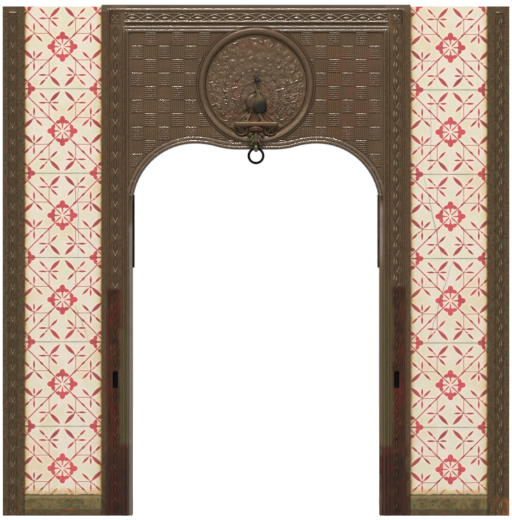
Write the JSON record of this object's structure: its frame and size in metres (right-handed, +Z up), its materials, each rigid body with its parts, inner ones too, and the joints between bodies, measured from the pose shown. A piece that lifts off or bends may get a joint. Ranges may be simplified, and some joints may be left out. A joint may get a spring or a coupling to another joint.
{
  "type": "cast iron tiled fireplace front",
  "caption": "Arched cast iron fireplace front with a ribbed basket-weave head, a bird roundel, a hanging pull ring and two columns of patterned tiles.",
  "frame": {"origin": "middle of the box round the whole front, on the hearth", "axes": "+X to the right seen from the room and the plane of symmetry at X = 0, +Y into the wall, +Z up"},
  "size_m": [0.915, 0.07, 0.923],
  "materials": {
    "iron": "matte",
    "rail_iron": "matte",
    "black_iron": "satin",
    "tile_glaze": "gloss",
    "plaster": "matte",
    "tray_iron": "matte",
    "fixings": "matte"
  },
  "bodies": {
    "front": {"arch_plate": "iron", "roundel_plaque": "iron", "bird_figure": "iron", "console_bracket": "iron", "plaque_rivets": "fixings", "bracket_screws": "fixings", "bird_stud_nut": "fixings", "left_outer_stile": "iron", "right_outer_stile": "iron", "left_bottom_rail": "rail_iron", "right_bottom_rail": "rail_iron", "left_tile_1": "tile_glaze", "left_tile_2": "tile_glaze", "left_tile_3": "tile_glaze", "left_tile_4": "tile_glaze", "left_tile_5": "tile_glaze", "left_tile_6": "tile_glaze", "right_tile_1": "tile_glaze", "right_tile_2": "tile_glaze", "right_tile_3": "tile_glaze", "right_tile_4": "tile_glaze", "right_tile_5": "tile_glaze", "right_tile_6": "tile_glaze", "left_plaster_bed": "plaster", "right_plaster_bed": "plaster", "left_tile_tray": "tray_iron", "right_tile_tray": "tray_iron", "left_tray_bolts": "fixings", "right_tray_bolts": "fixings", "left_rail_bolts": "fixings", "right_rail_bolts": "fixings", "left_hood_rail": "black_iron", "right_hood_rail": "black_iron", "left_hood_bolts": "fixings", "right_hood_bolts": "fixings"},
    "ring": {"pull_ring": "black_iron"}
  },
  "joints": [
    {"name": "ring_swing", "type": "hinge", "parent": "front", "child": "ring", "pos_m": [0, -0.028, 0.66305], "axis": [1, 0, 0], "range_deg": [-95, 65]}
  ]
}
